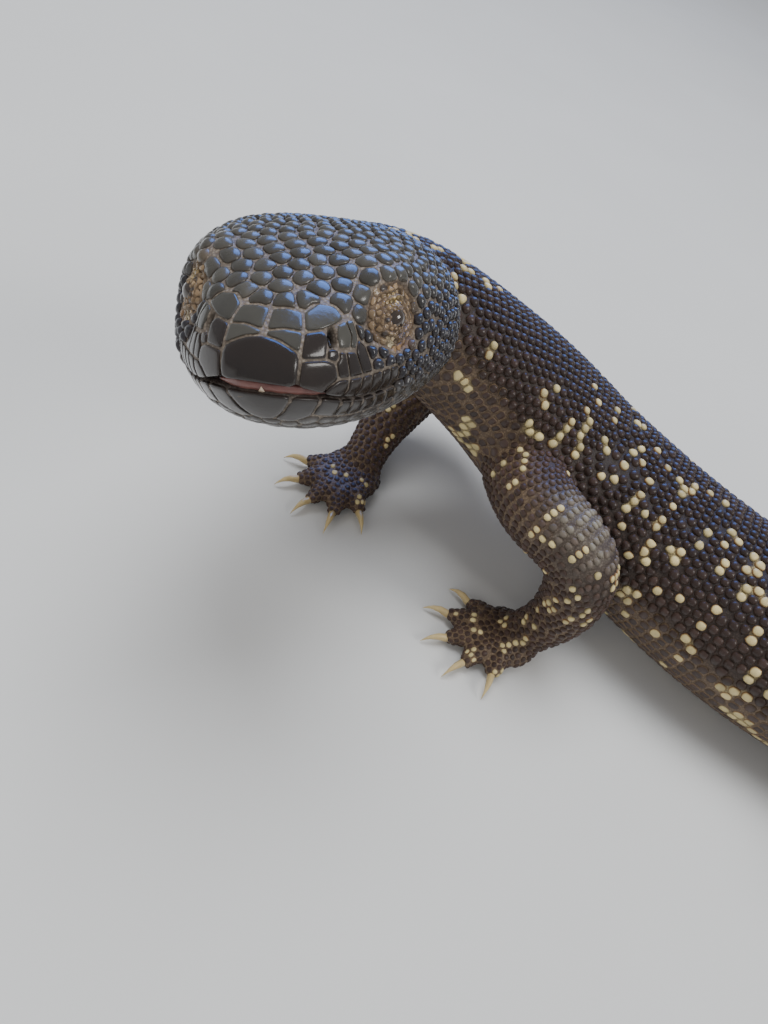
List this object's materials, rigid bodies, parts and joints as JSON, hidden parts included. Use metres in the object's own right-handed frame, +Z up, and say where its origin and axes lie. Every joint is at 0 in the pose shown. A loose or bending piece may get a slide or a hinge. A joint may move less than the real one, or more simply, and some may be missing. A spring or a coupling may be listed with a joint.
{
  "type": "beaded lizard",
  "caption": "Life-size beaded lizard, standing still on four feet with its head raised and turned back; a bead-scaled hide, five-clawed feet and a thick tail.",
  "frame": {"origin": "middle of the model's outline from above, on the floor under the feet", "axes": "+Z up from the floor; the trunk faces -X and the tail runs off towards +X; the raised head faces -Y, over the animal's left side"},
  "size_m": [0.5, 0.2417, 0.124],
  "materials": {
    "head_hide": "glossy grey-black plates and beads",
    "trunk_hide": "glossy dark brown beads with cream ones in clusters",
    "tail_hide": "glossy dark beads with broken cream bands",
    "limb_hide": "glossy dark beads, finer at the joints",
    "eyes": "wet dark brown",
    "claws": "polished pale horn"
  },
  "bodies": {
    "root": {"head": "head_hide", "jaw": "head_hide", "eye_left": "eyes", "eye_right": "eyes", "neck": "trunk_hide", "torso": "trunk_hide", "tail_base": "tail_hide", "tail_middle": "tail_hide", "tail_tip": "tail_hide", "fore_left_upper": "limb_hide", "fore_left_lower": "limb_hide", "fore_left_foot": "limb_hide", "fore_left_foot_claw_1": "claws", "fore_left_foot_claw_2": "claws", "fore_left_foot_claw_3": "claws", "fore_left_foot_claw_4": "claws", "fore_left_foot_claw_5": "claws", "fore_right_upper": "limb_hide", "fore_right_lower": "limb_hide", "fore_right_foot": "limb_hide", "fore_right_foot_claw_1": "claws", "fore_right_foot_claw_2": "claws", "fore_right_foot_claw_3": "claws", "fore_right_foot_claw_4": "claws", "fore_right_foot_claw_5": "claws", "hind_left_upper": "limb_hide", "hind_left_lower": "limb_hide", "hind_left_foot": "limb_hide", "hind_left_foot_claw_1": "claws", "hind_left_foot_claw_2": "claws", "hind_left_foot_claw_3": "claws", "hind_left_foot_claw_4": "claws", "hind_left_foot_claw_5": "claws", "hind_right_upper": "limb_hide", "hind_right_lower": "limb_hide", "hind_right_foot": "limb_hide", "hind_right_foot_claw_1": "claws", "hind_right_foot_claw_2": "claws", "hind_right_foot_claw_3": "claws", "hind_right_foot_claw_4": "claws", "hind_right_foot_claw_5": "claws"}
  },
  "joints": []
}
